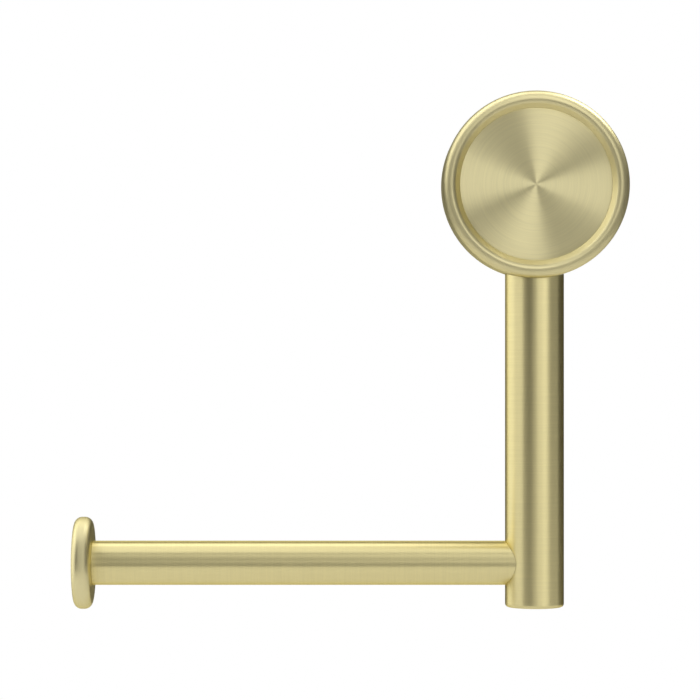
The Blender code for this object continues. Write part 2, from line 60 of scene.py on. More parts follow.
MM = 0.001
MERGE = 0.002 * MM  # corners closer than this are one
NEAR = 0.02 * MM  # a corner this close to a place is at it
SEAM = 0.3 * MM  # the gap that the CAD leaves between two pieces that touch
HAIRLINE = 0.05 * MM  # the joint line left between two brass pieces that are drawn together
OVERRUN = 1 * MM  # how far a cutter runs past the face it opens
FACE_EDGE_SLOPE = 0.3  # how far the face plate's bevel falls for its width
FLANGE_THREAD_SHARE = 1.25  # flange screw's 5 mm thread to the grub screw's 4 mm
SCREW_HEAD = 2.6 * MM  # height of the wall screws' heads
SCREW_HEAD_EDGE = 0.5 * MM
SCREW_SLOT = 1 * MM
SCREW_POINT = 5 * MM
SCREW_TIP = 0.4 * MM  # radius of the blunt end of a wall screw's point
PLUG_RIBS = 4
PLUG_SPLIT_SHARE = 0.6  # share of a wall plug's length that is split
GRUB_KEY = 2 * MM  # width across the flats of the grub screw's socket
GRUB_EDGE = 0.4 * MM
FINE_STEPS = 192  # steps round a piece more than 20 mm across
TUBE_STEPS = 128
SMALL_STEPS = 64
HEXAGON = 6
ROUND_OVER_STEPS = 10
SHARP_ANGLE = math.radians(32)  # a sharper corner than this stays crisp

# Which way a piece's own +Z points once it is in place
UPWARD = Matrix.Identity(4)
DOWNWARD = Matrix.Rotation(math.pi, 4, "X")
FRONTWARD = Matrix.Rotation(math.pi / 2, 4, "X")
LEFTWARD = Matrix.Rotation(-math.pi / 2, 4, "Y")


def linear(code):
    """An sRGB hex colour as linear red, green and blue."""
    values = [int(code[at : at + 2], 16) / 255 for at in (0, 2, 4)]
    return tuple(v / 12.92 if v <= 0.04045 else ((v + 0.055) / 1.055) ** 2.4 for v in values)


def radius_of(node, axis):
    """Half of a round CAD node's size along one axis, 0 to 2."""
    low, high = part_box(node)
    return (high[axis] - low[axis]) / 2


def centre_of(node):
    low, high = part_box(node)
    return (low + high) / 2


# Sizes, colours and studio settings that a user may change


def length(name, description, default):
    return bpy.props.FloatProperty(
        name=name, description=description, default=default, min=0, precision=5, unit="LENGTH"
    )


def colour(name, description, code):
    return bpy.props.FloatVectorProperty(
        name=name, description=description, default=linear(code), min=0, max=1, subtype="COLOR"
    )


class PaperHolderSizes(bpy.types.PropertyGroup):
    bead_width: length("Bead width", "Width of the drum's rounded rim", 4.65 * MM)
    bead_slope: length("Bead slope", "Width of the slope from rim to face plate", 1.6 * MM)
    bead_crest: length("Bead crest", "Size of the round between slope and rim", 0.72 * MM)
    drum_back_edge: length("Drum back edge", "Radius of the drum's rear edge", 3.5 * MM)
    drum_wall: length("Drum wall", "Wall of the drum behind the face plate", 6.75 * MM)
    drum_floor: length("Drum floor", "Thickness of the drum's floor", 4 * MM)
    face_edge: length("Face plate edge", "Width of the face plate's shallow bevel", 0.4 * MM)
    tube_wall: length("Drop tube wall", "Wall of the drop tube", 1.5 * MM)
    tube_floor: length("Drop tube floor", "Thickness of the drop tube's closed end", 2 * MM)
    tube_edge: length("Drop tube edge", "Radius at the foot of the drop tube", 1 * MM)
    bar_wall: length("Bar wall", "Wall of the bar", 1.2 * MM)
    cap_edge: length("End cap edge", "Radius of the end cap's two edges", 2.1 * MM)
    post_wall: length("Post wall", "Wall of the post", 1.5 * MM)
    flange_wall: length("Flange wall", "Wall of the wall flange", 3.5 * MM)
    flange_floor: length("Flange floor", "Thickness of the wall flange's floor", 3 * MM)
    flange_edge: length("Flange edge", "Radius of the wall flange's front edge", 1.5 * MM)
    bracket_counterbore: length("Bracket counterbore", "Depth of the screws' seats", 3.5 * MM)
    plug_rib: length("Plug rib", "Height of the wall plugs' ribs", 0.4 * MM)
    plug_split: length("Plug split", "Width of the wall plugs' split", 1.2 * MM)


class PaperHolderColours(bpy.types.PropertyGroup):
    brass: colour("Brushed brass", "Colour of the brushed tubes, bar and flange", "E6DAA2")
    pale_brass: colour("Turned brass", "Colour of the drum, face plate and end cap", "E6DCAB")
    bare_brass: colour("Bare brass", "Colour of the machined brass inside", "D8B36A")
    zinc: colour("Cast zinc", "Colour of the wall bracket", "A9ABAE")
    steel: colour("Stainless steel", "Colour of the screws", "C2C1BE")
    nylon: colour("Grey nylon", "Colour of the wall plugs", "A4A6A8")
    rubber: colour("Black rubber", "Colour of the ring behind the face plate", "1C1C1D")
    floor: colour("Floor", "Colour of the studio floor", "F2F1EF")


class PaperHolderStudio(bpy.types.PropertyGroup):
    camera_distance: length("Camera distance", "From the bar's axis to the camera", 797 * MM)
    camera_left: length("Camera left", "From the drum's axis to the camera, to the left", 50.2 * MM)
    camera_above_bar: length("Camera above bar", "From the bar's axis up to the camera", 57.9 * MM)
    lens: bpy.props.FloatProperty(
        name="Lens", description="Focal length on a 36 mm sensor", default=150.6, unit="CAMERA"
    )
    floor_drop: length("Floor drop", "From the drum's axis down to the floor", 250 * MM)
    floor_radius: length("Floor radius", "Radius of the studio floor", 600 * MM)
    fill: bpy.props.FloatProperty(
        name="Fill light", description="Brightness of the even light all round", default=0.08, min=0
    )


def settings_of(group):
    return getattr(bpy.context.scene, f"paper_holder_{group}")


# Materials

NOISE_RANGE = {"From Min": 0.3, "From Max": 0.7}  # where nearly all of a noise's values lie
QUARTER_TURN = 0.25
WHITE = (1, 1, 1, 1)
BRUSHED = {"roughness": 0.35, "anisotropy": 0.75, "contrast": 0.03}
BRUSHED_FLANGE = {"roughness": 0.35, "anisotropy": 0.8, "contrast": 0.02}
SPUN = {"roughness": 0.38, "anisotropy": 1.0, "contrast": 0.04}
SATIN_DRUM = {"roughness": 0.48, "anisotropy": 0.0, "contrast": 0.008}
SATIN_CAP = {"roughness": 0.42, "anisotropy": 0.0, "contrast": 0.008}


def add_node(tree, kind, settings=(), links=()):
    """Adds a node. Settings are properties or input values, and links are input: output."""
    node = tree.nodes.new(kind)
    for key, value in dict(settings).items():
        if isinstance(key, str) and hasattr(node, key):
            setattr(node, key, value)
        else:
            node.inputs[key].default_value = value
    for key, output in dict(links).items():
        tree.links.new(output, node.inputs[key])
    return node


def new_material(name, metallic, roughness, colour_value):
    """A material with only its shader, and that shader."""
    material = bpy.data.materials.new(name)
    material.use_nodes = True
    shader = material.node_tree.nodes["Principled BSDF"]
    shader.inputs["Metallic"].default_value = metallic
    shader.inputs["Roughness"].default_value = roughness
    shader.inputs["Base Color"].default_value = (*colour_value, 1)
    if metallic:
        # The metal keeps its colour at its edges too
        shader.inputs["Specular Tint"].default_value = (*colour_value, 1)
    return material, shader


def brush_tangent(tree, shader, axis, finish):
    """Smears highlights across brush lines that run round an axis."""
    grain = add_node(tree, "ShaderNodeTangent", {"direction_type": "RADIAL", "axis": axis})
    tree.links.new(grain.outputs["Tangent"], shader.inputs["Tangent"])
    shader.inputs["Anisotropic"].default_value = finish["anisotropy"]
    shader.inputs["Anisotropic Rotation"].default_value = QUARTER_TURN


def brushed_brass(name, axis, finish, tone):
    """Brass brushed round its axis with fine abrasive. The lines run round the piece, so
    highlights smear along the axis and stay crisp across it."""
    material, shader = new_material(name, 1.0, finish["roughness"], tone)
    tree = material.node_tree
    place = add_node(tree, "ShaderNodeTexCoord")
    # Real brush lines are about 0.05 mm apart. They are drawn 0.4 mm apart so that they show.
    across, along = 1 / (14 * MM), 1 / (0.4 * MM)
    scale = [along if letter == axis else across for letter in "XYZ"]
    stretched = add_node(
        tree, "ShaderNodeMapping", {"Scale": scale}, {"Vector": place.outputs["Object"]}
    )
    finish_lines(tree, shader, stretched.outputs["Vector"], finish)
    brush_tangent(tree, shader, axis, finish)
    return material


def finish_lines(tree, shader, position, finish):
    """Fine lines of slightly different brightness, roughness and depth."""
    roughness = finish["roughness"]
    lines = add_node(
        tree, "ShaderNodeTexNoise", {"Scale": 1.0, "Detail": 3.0, "Roughness": 0.6},
        {"Vector": position},
    )
    light, dark = 1 + finish["contrast"], 1 - finish["contrast"]
    brightness = add_node(
        tree, "ShaderNodeMapRange", {**NOISE_RANGE, "To Min": dark, "To Max": light},
        {"Value": lines.outputs["Fac"]},
    )
    tone = shader.inputs["Base Color"].default_value[:3]
    tinted = add_node(
        tree, "ShaderNodeVectorMath", {"operation": "SCALE"},
        {"Scale": brightness.outputs["Result"]},
    )
    tinted.inputs[0].default_value = tone
    tree.links.new(tinted.outputs["Vector"], shader.inputs["Base Color"])
    polish = add_node(
        tree, "ShaderNodeMapRange",
        {**NOISE_RANGE, "To Min": roughness * light, "To Max": roughness * dark},
        {"Value": lines.outputs["Fac"]},
    )
    tree.links.new(polish.outputs["Result"], shader.inputs["Roughness"])
    relief = add_node(
        tree, "ShaderNodeBump", {"Strength": 0.08, "Distance": 0.02 * MM},
        {"Height": lines.outputs["Fac"]},
    )
    tree.links.new(relief.outputs["Normal"], shader.inputs["Normal"])


def spun_brass():
    """Brass disc brushed on a lathe while it spins. Its lines are circles, so light gathers in
    fans that meet in the middle."""
    material, shader = new_material(
        "Spun_Brushed_Brass", 1.0, SPUN["roughness"], settings_of("colours").pale_brass
    )
    tree = material.node_tree
    place = add_node(tree, "ShaderNodeTexCoord")
    flat = add_node(
        tree, "ShaderNodeVectorMath", {"operation": "MULTIPLY"}, {0: place.outputs["Object"]}
    )
    flat.inputs[1].default_value = (1, 0, 1)
    from_axis = add_node(
        tree, "ShaderNodeVectorMath", {"operation": "LENGTH"}, {0: flat.outputs["Vector"]}
    )
    # Real turning lines are about 0.05 mm apart. They are drawn 0.45 mm apart so that they show.
    rings = add_node(
        tree, "ShaderNodeMath", {"operation": "MULTIPLY", 1: 1 / (0.45 * MM)},
        {0: from_axis.outputs["Value"]},
    )
    slow = add_node(
        tree, "ShaderNodeVectorMath", {"operation": "SCALE", "Scale": 1 / (16 * MM)},
        {0: flat.outputs["Vector"]},
    )
    parts = add_node(tree, "ShaderNodeSeparateXYZ", {}, {"Vector": slow.outputs["Vector"]})
    position = add_node(
        tree, "ShaderNodeCombineXYZ", {},
        {"X": parts.outputs["X"], "Y": rings.outputs["Value"], "Z": parts.outputs["Z"]},
    )
    finish_lines(tree, shader, position.outputs["Vector"], SPUN)
    brush_tangent(tree, shader, "Y", SPUN)
    return material


def tube_brass(name, axis, finish=BRUSHED):
    """Brushed brass in the tone that the tubes, bar and flange share."""
    return brushed_brass(name, axis, finish, settings_of("colours").brass)


def satin_brass(name, axis, finish):
    """Turned brass rubbed to a satin with a fine pad. The lines hardly show, so rounded edges
    carry soft, even highlights."""
    return brushed_brass(name, axis, finish, settings_of("colours").pale_brass)


def grained(name, tone, metallic, roughness, grain_size, contrast, depth):
    """A finish with an even grain, such as a casting's skin, a moulding's or a ground screw's."""
    if name in bpy.data.materials:
        return bpy.data.materials[name]
    material, shader = new_material(name, metallic, roughness, tone)
    tree = material.node_tree
    place = add_node(tree, "ShaderNodeTexCoord")
    grain = add_node(
        tree, "ShaderNodeTexNoise", {"Scale": 1 / grain_size, "Detail": 4.0},
        {"Vector": place.outputs["Object"]},
    )
    brightness = add_node(
        tree, "ShaderNodeMapRange",
        {**NOISE_RANGE, "To Min": 1 - contrast, "To Max": 1 + contrast},
        {"Value": grain.outputs["Fac"]},
    )
    tinted = add_node(
        tree, "ShaderNodeVectorMath", {"operation": "SCALE"},
        {"Scale": brightness.outputs["Result"]},
    )
    tinted.inputs[0].default_value = tone
    tree.links.new(tinted.outputs["Vector"], shader.inputs["Base Color"])
    relief = add_node(
        tree, "ShaderNodeBump", {"Strength": 0.5, "Distance": depth},
        {"Height": grain.outputs["Fac"]},
    )
    tree.links.new(relief.outputs["Normal"], shader.inputs["Normal"])
    return material


def cast_zinc():
    """Die-cast zinc alloy as it leaves the mould: dull grey metal with a slightly cloudy skin."""
    return grained(
        "Cast_Zinc", settings_of("colours").zinc, metallic=1.0, roughness=0.48,
        grain_size=1.2 * MM, contrast=0.08, depth=0.03 * MM,
    )


def stainless_steel():
    """Cold-headed stainless steel: neutral metal, fairly bright, with a fine tumbled grain."""
    return grained(
        "Stainless_Steel", settings_of("colours").steel, metallic=1.0, roughness=0.3,
        grain_size=0.5 * MM, contrast=0.05, depth=0.01 * MM,
    )


def machined_brass():
    """Brass bar as it leaves the lathe: deeper yellow than the brushed surfaces."""
    return grained(
        "Machined_Brass", settings_of("colours").bare_brass, metallic=1.0, roughness=0.35,
        grain_size=0.4 * MM, contrast=0.05, depth=0.01 * MM,
    )


def moulded_nylon():
    """Injection-moulded grey nylon: a soft, waxy plastic with a low sheen."""
    return grained(
        "Moulded_Nylon", settings_of("colours").nylon, metallic=0.0, roughness=0.5,
        grain_size=0.6 * MM, contrast=0.03, depth=0.01 * MM,
    )


def moulded_rubber():
    """Moulded nitrile rubber: matt black with hardly any sheen."""
    return grained(
        "Moulded_Rubber", settings_of("colours").rubber, metallic=0.0, roughness=0.75,
        grain_size=0.3 * MM, contrast=0.1, depth=0.01 * MM,
    )


def floor_board():
    """Matt painted board: pale and even, with hardly any sheen."""
    return grained(
        "Matt_Floor_Board", settings_of("colours").floor, metallic=0.0, roughness=0.8,
        grain_size=4 * MM, contrast=0.01, depth=0.01 * MM,
    )


# Shaping and finishing


def turned(outline, steps, ring=False):
    """A shape turned about Z from the corners of its outline, each (radius, height). A ring's
    outline is closed and stays off the axis, and any other starts and ends on it."""
    shape = bmesh.new()
    corners = [shape.verts.new((radius, 0, height)) for radius, height in outline]
    edges = [shape.edges.new(pair) for pair in zip(corners, corners[1:])]
    if ring:
        edges.append(shape.edges.new((corners[-1], corners[0])))
    bmesh.ops.spin(
        shape,
        geom=corners + edges,
        cent=(0, 0, 0),
        axis=(0, 0, 1),
        angle=math.tau,
        steps=steps,
        use_merge=True,
    )
    bmesh.ops.remove_doubles(shape, verts=shape.verts, dist=MERGE)
    bmesh.ops.recalc_face_normals(shape, faces=shape.faces)
    return shape


def round_over(shape, edges_at, size):
    """Rounds the edges that run round the piece at these (radius, height) places."""
    rims = []
    for radius, height in edges_at:
        for edge in shape.edges:
            if all(
                abs(corner.co.xy.length - radius) < NEAR and abs(corner.co.z - height) < NEAR
                for corner in edge.verts
            ):
                rims.append(edge)
    bmesh.ops.bevel(
        shape,
        geom=rims,
        offset=size,
        offset_type="OFFSET",
        segments=ROUND_OVER_STEPS,
        profile=0.5,
        affect="EDGES",
        material=-1,
    )
    bmesh.ops.remove_doubles(shape, verts=shape.verts, dist=MERGE)
    bmesh.ops.dissolve_degenerate(shape, edges=shape.edges, dist=MERGE)


def placed(shape, facing, place):
    """Turns a shape the way its piece faces and moves it to its place."""
    bmesh.ops.transform(shape, matrix=Matrix.Translation(place) @ facing, verts=shape.verts)
    return shape


def box_cutter(size, centre):
    shape = bmesh.new()
    bmesh.ops.create_cube(shape, size=1)
    bmesh.ops.scale(shape, vec=size, verts=shape.verts)
    bmesh.ops.translate(shape, vec=centre, verts=shape.verts)
    return shape


def new_object(name, shape):
    mesh = bpy.data.meshes.new(name)
    shape.to_mesh(mesh)
    shape.free()
    piece = bpy.data.objects.new(name, mesh)
    bpy.context.scene.collection.objects.link(piece)
    return piece


def apply_modifiers(piece):
    """Makes what the piece's modifiers show its own mesh."""
    shown = piece.evaluated_get(bpy.context.evaluated_depsgraph_get())
    mesh = bpy.data.meshes.new_from_object(shown)
    piece.modifiers.clear()
    old = piece.data
    piece.data = mesh
    bpy.data.meshes.remove(old)
    mesh.name = piece.name


def finished(name, shape, body, material, stands_for, cutters=()):
    """Cuts the piece, shades it, and lets it ride in place of its CAD nodes."""
    piece = new_object(name, shape)
    tools = [new_object(f"{name}_cutter", cutter) for cutter in cutters]
    for tool in tools:
        cut = piece.modifiers.new("Cut", "BOOLEAN")
        cut.operation = "DIFFERENCE"
        cut.solver = "EXACT"
        cut.object = tool
    if tools:
        apply_modifiers(piece)
    for tool in tools:
        bpy.data.objects.remove(tool)
    piece.data.shade_smooth()
    piece.data.set_sharp_from_angle(angle=SHARP_ANGLE)
    flats = piece.modifiers.new("Flats stay flat", "WEIGHTED_NORMAL")
    flats.keep_sharp = True
    apply_modifiers(piece)
    piece.data.materials.clear()
    piece.data.materials.append(material)
    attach(piece, body)
    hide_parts(*stands_for)
    return piece


# The pieces


def drum_skin(grow):
    """A function that gives the radius of the drum's outside, moved outwards by grow, at a
    distance out from the wall."""
    sizes = settings_of("sizes")
    low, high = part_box("drum")
    radius = high.x
    edge, bead = sizes.drum_back_edge, sizes.bead_width / 2
    edge_centre, bead_centre = edge - high.y, -low.y - bead

    def radius_at(depth):
        if depth < edge_centre:
            return radius - edge + math.sqrt((edge + grow) ** 2 - (edge_centre - depth) ** 2)
        if depth > bead_centre:
            return radius - bead + math.sqrt((bead + grow) ** 2 - (depth - bead_centre) ** 2)
        return radius + grow

    return radius_at


class PAPERHOLDER_OT_drum(bpy.types.Operator):
    """Build the drum: a round cup with a rounded rim that slopes down to the face plate"""

    bl_idname = "paper_holder.drum"
    bl_label = "Drum"

    def execute(self, context):
        sizes = settings_of("sizes")
        low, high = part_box("drum")
        back, front, radius = -high.y, -low.y, radius_of("drum", 0)
        inner = radius - sizes.bead_width
        bore = radius - sizes.drum_wall
        ledge = -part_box("face_plate")[1].y - SEAM
        floor = back + sizes.drum_floor
        crest = inner + sizes.bead_slope
        outline = [
            (0, back),
            (radius, back),
            (radius, front),
            (crest, front),
            (inner, -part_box("face_plate")[0].y),
            (inner, ledge),
            (bore, ledge),
            (bore, floor),
            (0, floor),
        ]
        shape = turned(outline, FINE_STEPS)
        round_over(shape, [(radius, back)], sizes.drum_back_edge)
        round_over(shape, [(radius, front)], sizes.bead_width / 2)
        round_over(shape, [(crest, front)], sizes.bead_crest)
        placed(shape, FRONTWARD, (0, 0, 0))
        material = satin_brass("Satin_Turned_Brass_Drum", "Y", SATIN_DRUM)
        finished("drum_shell", shape, "holder", material, ["drum"])
        return {"FINISHED"}


class PAPERHOLDER_OT_face_plate(bpy.types.Operator):
    """Build the spun disc inside the bead, with a groove in its edge for the rubber ring"""

    bl_idname = "paper_holder.face_plate"
    bl_label = "Face Plate"

    def execute(self, context):
        low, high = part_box("face_plate")
        ring_low, ring_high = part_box("face_plate_ring")
        back, front = -high.y, -low.y
        radius = radius_of("drum", 0) - settings_of("sizes").bead_width
        groove_back, groove_front = -ring_high.y - SEAM, -ring_low.y + SEAM
        groove_floor = high.x - (groove_front - groove_back) + SEAM
        edge = settings_of("sizes").face_edge
        outline = [
            (0, back),
            (radius, back),
            (radius, groove_back),
            (groove_floor, groove_back),
            (groove_floor, groove_front),
            (radius, groove_front),
            (radius, front - edge * FACE_EDGE_SLOPE),
            (radius - edge, front),
            (0, front),
        ]
        shape = placed(turned(outline, FINE_STEPS), FRONTWARD, (0, 0, 0))
        finished("face_disc", shape, "holder", spun_brass(), ["face_plate"])
        return {"FINISHED"}


class PAPERHOLDER_OT_drop_tube(bpy.types.Operator):
    """Build the drop tube: closed at its foot and saddle-cut to the drum at its top"""

    bl_idname = "paper_holder.drop_tube"
    bl_label = "Drop Tube"

    def execute(self, context):
        sizes = settings_of("sizes")
        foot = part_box("drop_tube")[0].z
        reach = centre_of("drop_tube").y
        radius = radius_of("drop_tube", 0)
        bore = radius - sizes.tube_wall
        floor = foot + sizes.tube_floor
        top = 0.0
        outline = [(0, foot), (radius, foot), (radius, top), (bore, top), (bore, floor), (0, floor)]
        shape = turned(outline, TUBE_STEPS)
        round_over(shape, [(radius, foot)], sizes.tube_edge)
        skin_at = drum_skin(HAIRLINE)
        for corner in shape.verts:
            if abs(corner.co.z - top) < NEAR:
                skin = skin_at(-reach - corner.co.y)
                corner.co.z = -math.sqrt(skin**2 - corner.co.x**2)
        placed(shape, UPWARD, (0, reach, 0))
        material = tube_brass("Brushed_Brass_Drop_Tube", "Z")
        finished("drop_tube_shell", shape, "holder", material, ["drop_tube"])
        return {"FINISHED"}


class PAPERHOLDER_OT_bar(bpy.types.Operator):
    """Build the roll's bar: a pipe saddle-cut to the drop tube"""

    bl_idname = "paper_holder.bar"
    bl_label = "Bar"

    def execute(self, context):
        end = -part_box("end_cap")[1].x - HAIRLINE
        centre = centre_of("bar")
        radius = radius_of("bar", 2)
        bore = radius - settings_of("sizes").bar_wall
        clear = radius_of("drop_tube", 0) + HAIRLINE
        shape = turned([(bore, 0), (radius, 0), (radius, end), (bore, end)], TUBE_STEPS, ring=True)
        for corner in shape.verts:
            if abs(corner.co.z) < NEAR:
                corner.co.z = math.sqrt(clear**2 - corner.co.y**2)
        placed(shape, LEFTWARD, (0, centre.y, centre.z))
        material = tube_brass("Brushed_Brass_Bar", "X")
        finished("bar_shell", shape, "holder", material, ["bar"])
        return {"FINISHED"}


class PAPERHOLDER_OT_end_cap(bpy.types.Operator):
    """Build the end cap: a button with two rounded edges and a hole for its stud"""

    bl_idname = "paper_holder.end_cap"
    bl_label = "End Cap"

    def execute(self, context):
        low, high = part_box("end_cap")
        stud_low, stud_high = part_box("end_cap_stud")
        centre = (low + high) / 2
        inner, outer, radius = -high.x, -low.x, radius_of("end_cap", 2)
        hole = (stud_high.z - stud_low.z) / 2 + SEAM
        hole_end = -stud_low.x + SEAM
        outline = [
            (0, hole_end),
            (hole, hole_end),
            (hole, inner),
            (radius, inner),
            (radius, outer),
            (0, outer),
        ]
        shape = turned(outline, FINE_STEPS)
        edge = settings_of("sizes").cap_edge
        round_over(shape, [(radius, inner), (radius, outer)], edge)
        placed(shape, LEFTWARD, (0, centre.y, centre.z))
        material = satin_brass("Satin_Turned_Brass_Cap", "X", SATIN_CAP)
        finished("end_button", shape, "holder", material, ["end_cap"])
        return {"FINISHED"}


class PAPERHOLDER_OT_post(bpy.types.Operator):
    """Build the post between the wall flange and the drum"""

    bl_idname = "paper_holder.post"
    bl_label = "Post"

    def execute(self, context):
        back, front = -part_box("wall_flange")[0].y + HAIRLINE, -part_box("drum")[1].y - HAIRLINE
        radius = radius_of("post", 0)
        bore = radius - settings_of("sizes").post_wall
        outline = [(bore, back), (radius, back), (radius, front), (bore, front)]
        shape = placed(turned(outline, TUBE_STEPS, ring=True), FRONTWARD, (0, 0, 0))
        material = tube_brass("Brushed_Brass_Post", "Y")
        finished("post_shell", shape, "holder", material, ["post"])
        return {"FINISHED"}


class PAPERHOLDER_OT_wall_flange(bpy.types.Operator):
    """Build the wall flange: a cup over the bracket, with holes for its screws and dowel"""

    bl_idname = "paper_holder.wall_flange"
    bl_label = "Wall Flange"

    def execute(self, context):
        sizes = settings_of("sizes")
        front, radius = -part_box("wall_flange")[0].y, radius_of("wall_flange", 0)
        bore = radius - sizes.flange_wall
        floor = front - sizes.flange_floor
        mouth = radius_of("flange_screw", 0) + SEAM * (1 + math.sqrt(2))
        shank = radius_of("grub_screw", 0) * FLANGE_THREAD_SHARE + SEAM
        outline = [
            (bore, 0),
            (radius, 0),
            (radius, front),
            (shank, front),
            (shank, floor + mouth - shank),
            (mouth, floor),
            (bore, floor),
        ]
        shape = turned(outline, FINE_STEPS, ring=True)
        round_over(shape, [(radius, front)], sizes.flange_edge)
        placed(shape, FRONTWARD, (0, 0, 0))
        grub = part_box("grub_screw")
        hole = radius_of("grub_screw", 0) + SEAM
        start, end = -grub[1].z - OVERRUN, radius + OVERRUN
        tapping = turned([(0, start), (hole, start), (hole, end), (0, end)], SMALL_STEPS)
        placed(tapping, DOWNWARD, (0, centre_of("grub_screw").y, 0))
        dowel_low, dowel_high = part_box("flange_dowel")
        dowel_hole = (dowel_high.x - dowel_low.x) / 2 + SEAM
        start, end = -dowel_high.y - SEAM, -dowel_low.y
        pocket = turned([(0, start), (dowel_hole, start), (dowel_hole, end), (0, end)], SMALL_STEPS)
        placed(pocket, FRONTWARD, (0, 0, (dowel_low.z + dowel_high.z) / 2))
        material = tube_brass("Brushed_Brass_Flange", "Y", BRUSHED_FLANGE)
        finished(
            "flange_shell", shape, "holder", material, ["wall_flange"],
            [tapping, pocket],
        )
        return {"FINISHED"}


class PAPERHOLDER_OT_wall_bracket(bpy.types.Operator):
    """Build the zinc disc on the wall, with two counterbored screw holes and a flat below"""

    bl_idname = "paper_holder.wall_bracket"
    bl_label = "Wall Bracket"

    def execute(self, context):
        low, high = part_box("wall_bracket")
        front, radius = -low.y, high.x
        shape = turned([(0, 0), (radius, 0), (radius, front), (0, front)], FINE_STEPS)
        round_over(shape, [(radius, 0), (radius, front)], SEAM)
        placed(shape, FRONTWARD, (0, 0, 0))
        cut = bmesh.ops.bisect_plane(
            shape,
            geom=shape.verts[:] + shape.edges[:] + shape.faces[:],
            plane_co=(0, 0, low.z),
            plane_no=(0, 0, -1),
            clear_outer=True,
        )
        rim = [item for item in cut["geom_cut"] if isinstance(item, bmesh.types.BMEdge)]
        bmesh.ops.contextual_create(shape, geom=rim)
        seat = front - settings_of("sizes").bracket_counterbore
        drills = []
        for side in ("left", "right"):
            screw = f"wall_screw_{side}"
            head = radius_of(screw, 0) + SEAM
            shank = radius_of("grub_screw", 0) + SEAM
            steps = [
                (0, -OVERRUN),
                (shank, -OVERRUN),
                (shank, seat),
                (head, seat),
                (head, front + OVERRUN),
                (0, front + OVERRUN),
            ]
            drills.append(placed(turned(steps, SMALL_STEPS), FRONTWARD, (centre_of(screw).x, 0, 0)))
        finished(
            "bracket_disc", shape, "wall_mount", cast_zinc(), ["wall_bracket"], drills
        )
        return {"FINISHED"}


class PAPERHOLDER_OT_wall_screws(bpy.types.Operator):
    """Build the two pan head wood screws with cross slots"""

    bl_idname = "paper_holder.wall_screws"
    bl_label = "Wall Screws"

    def execute(self, context):
        steel = stainless_steel()
        for side in ("left", "right"):
            node = f"wall_screw_{side}"
            low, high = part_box(node)
            x, head, shank = centre_of(node).x, radius_of(node, 0), radius_of("grub_screw", 0)
            top, tip = -low.y, -high.y
            seat = top - SCREW_HEAD
            middle = seat + SCREW_HEAD / 2
            outline = [
                (0, tip),
                (SCREW_TIP, tip),
                (shank, tip + SCREW_POINT),
                (shank, seat),
                (head, seat),
                (head, middle),
                (head / 2, top),
                (0, top),
            ]
            shape = turned(outline, SMALL_STEPS)
            round_over(shape, [(head, middle), (head / 2, top)], SCREW_HEAD_EDGE)
            placed(shape, FRONTWARD, (x, 0, 0))
            depth = SCREW_HEAD / 2 + OVERRUN
            place = (x, -top + SCREW_HEAD / 2 - depth / 2, 0)
            slots = [
                box_cutter((head, depth, SCREW_SLOT), place),
                box_cutter((SCREW_SLOT, depth, head), place),
            ]
            finished(
                f"pan_head_screw_{side}", shape, "wall_mount", steel, [node],
                slots,
            )
        return {"FINISHED"}


class PAPERHOLDER_OT_wall_plugs(bpy.types.Operator):
    """Build the two ribbed nylon plugs, split from their far ends"""

    bl_idname = "paper_holder.wall_plugs"
    bl_label = "Wall Plugs"

    def execute(self, context):
        sizes = settings_of("sizes")
        nylon = moulded_nylon()
        for side in ("left", "right"):
            node = f"wall_plug_{side}"
            low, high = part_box(node)
            x, radius = centre_of(node).x, radius_of(node, 0)
            bore = radius_of("grub_screw", 0) + SEAM
            front, back = -low.y, -high.y
            pitch = (front - back) / (PLUG_RIBS + 1)
            valley = radius - sizes.plug_rib
            outline = [(bore, back)]
            for rib in range(PLUG_RIBS):
                outline += [(valley, back + rib * pitch), (radius, back + (rib + 1) * pitch)]
            outline += [(valley, front - pitch), (valley, front), (bore, front)]
            shape = placed(turned(outline, SMALL_STEPS, ring=True), FRONTWARD, (x, 0, 0))
            split = (front - back) * PLUG_SPLIT_SHARE + OVERRUN
            size = (2 * (radius + OVERRUN), split, sizes.plug_split)
            slot = box_cutter(size, (x, -back + OVERRUN - split / 2, 0))
            finished(f"ribbed_plug_{side}", shape, "wall_mount", nylon, [node], [slot])
        return {"FINISHED"}


class PAPERHOLDER_OT_grub_screw(bpy.types.Operator):
    """Build the socket set screw under the wall flange"""

    bl_idname = "paper_holder.grub_screw"
    bl_label = "Grub Screw"

    def execute(self, context):
        low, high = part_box("grub_screw")
        radius, tip, end = radius_of("grub_screw", 0), -high.z, -low.z
        shape = turned([(0, tip), (radius, tip), (radius, end), (0, end)], SMALL_STEPS)
        round_over(shape, [(radius, tip), (radius, end)], GRUB_EDGE)
        place = (0, centre_of("grub_screw").y, 0)
        placed(shape, DOWNWARD, place)
        corner, start, stop = GRUB_KEY / math.sqrt(3), (tip + end) / 2, end + OVERRUN
        socket = turned([(0, start), (corner, start), (corner, stop), (0, stop)], HEXAGON)
        placed(socket, DOWNWARD, place)
        steel = stainless_steel()
        finished(
            "socket_set_screw", shape, "grub_screw", steel, ["grub_screw"],
            [socket],
        )
        return {"FINISHED"}


class PAPERHOLDER_OT_inner_fittings(bpy.types.Operator):
    """Give the screws, washers, plugs, dowels and ring inside the holder their finishes"""

    bl_idname = "paper_holder.inner_fittings"
    bl_label = "Inner Fittings"

    def execute(self, context):
        finishes = (
            (stainless_steel(), ("_screw", "_washer", "_dowel", "_stud")),
            (machined_brass(), ("_plug", "_spigot")),
            (moulded_rubber(), ("_ring",)),
        )
        for name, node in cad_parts.items():
            if node.hide_render:
                continue
            for material, endings in finishes:
                if name.endswith(endings):
                    node.data.materials.clear()
                    node.data.materials.append(material)
        return {"FINISHED"}


# The studio

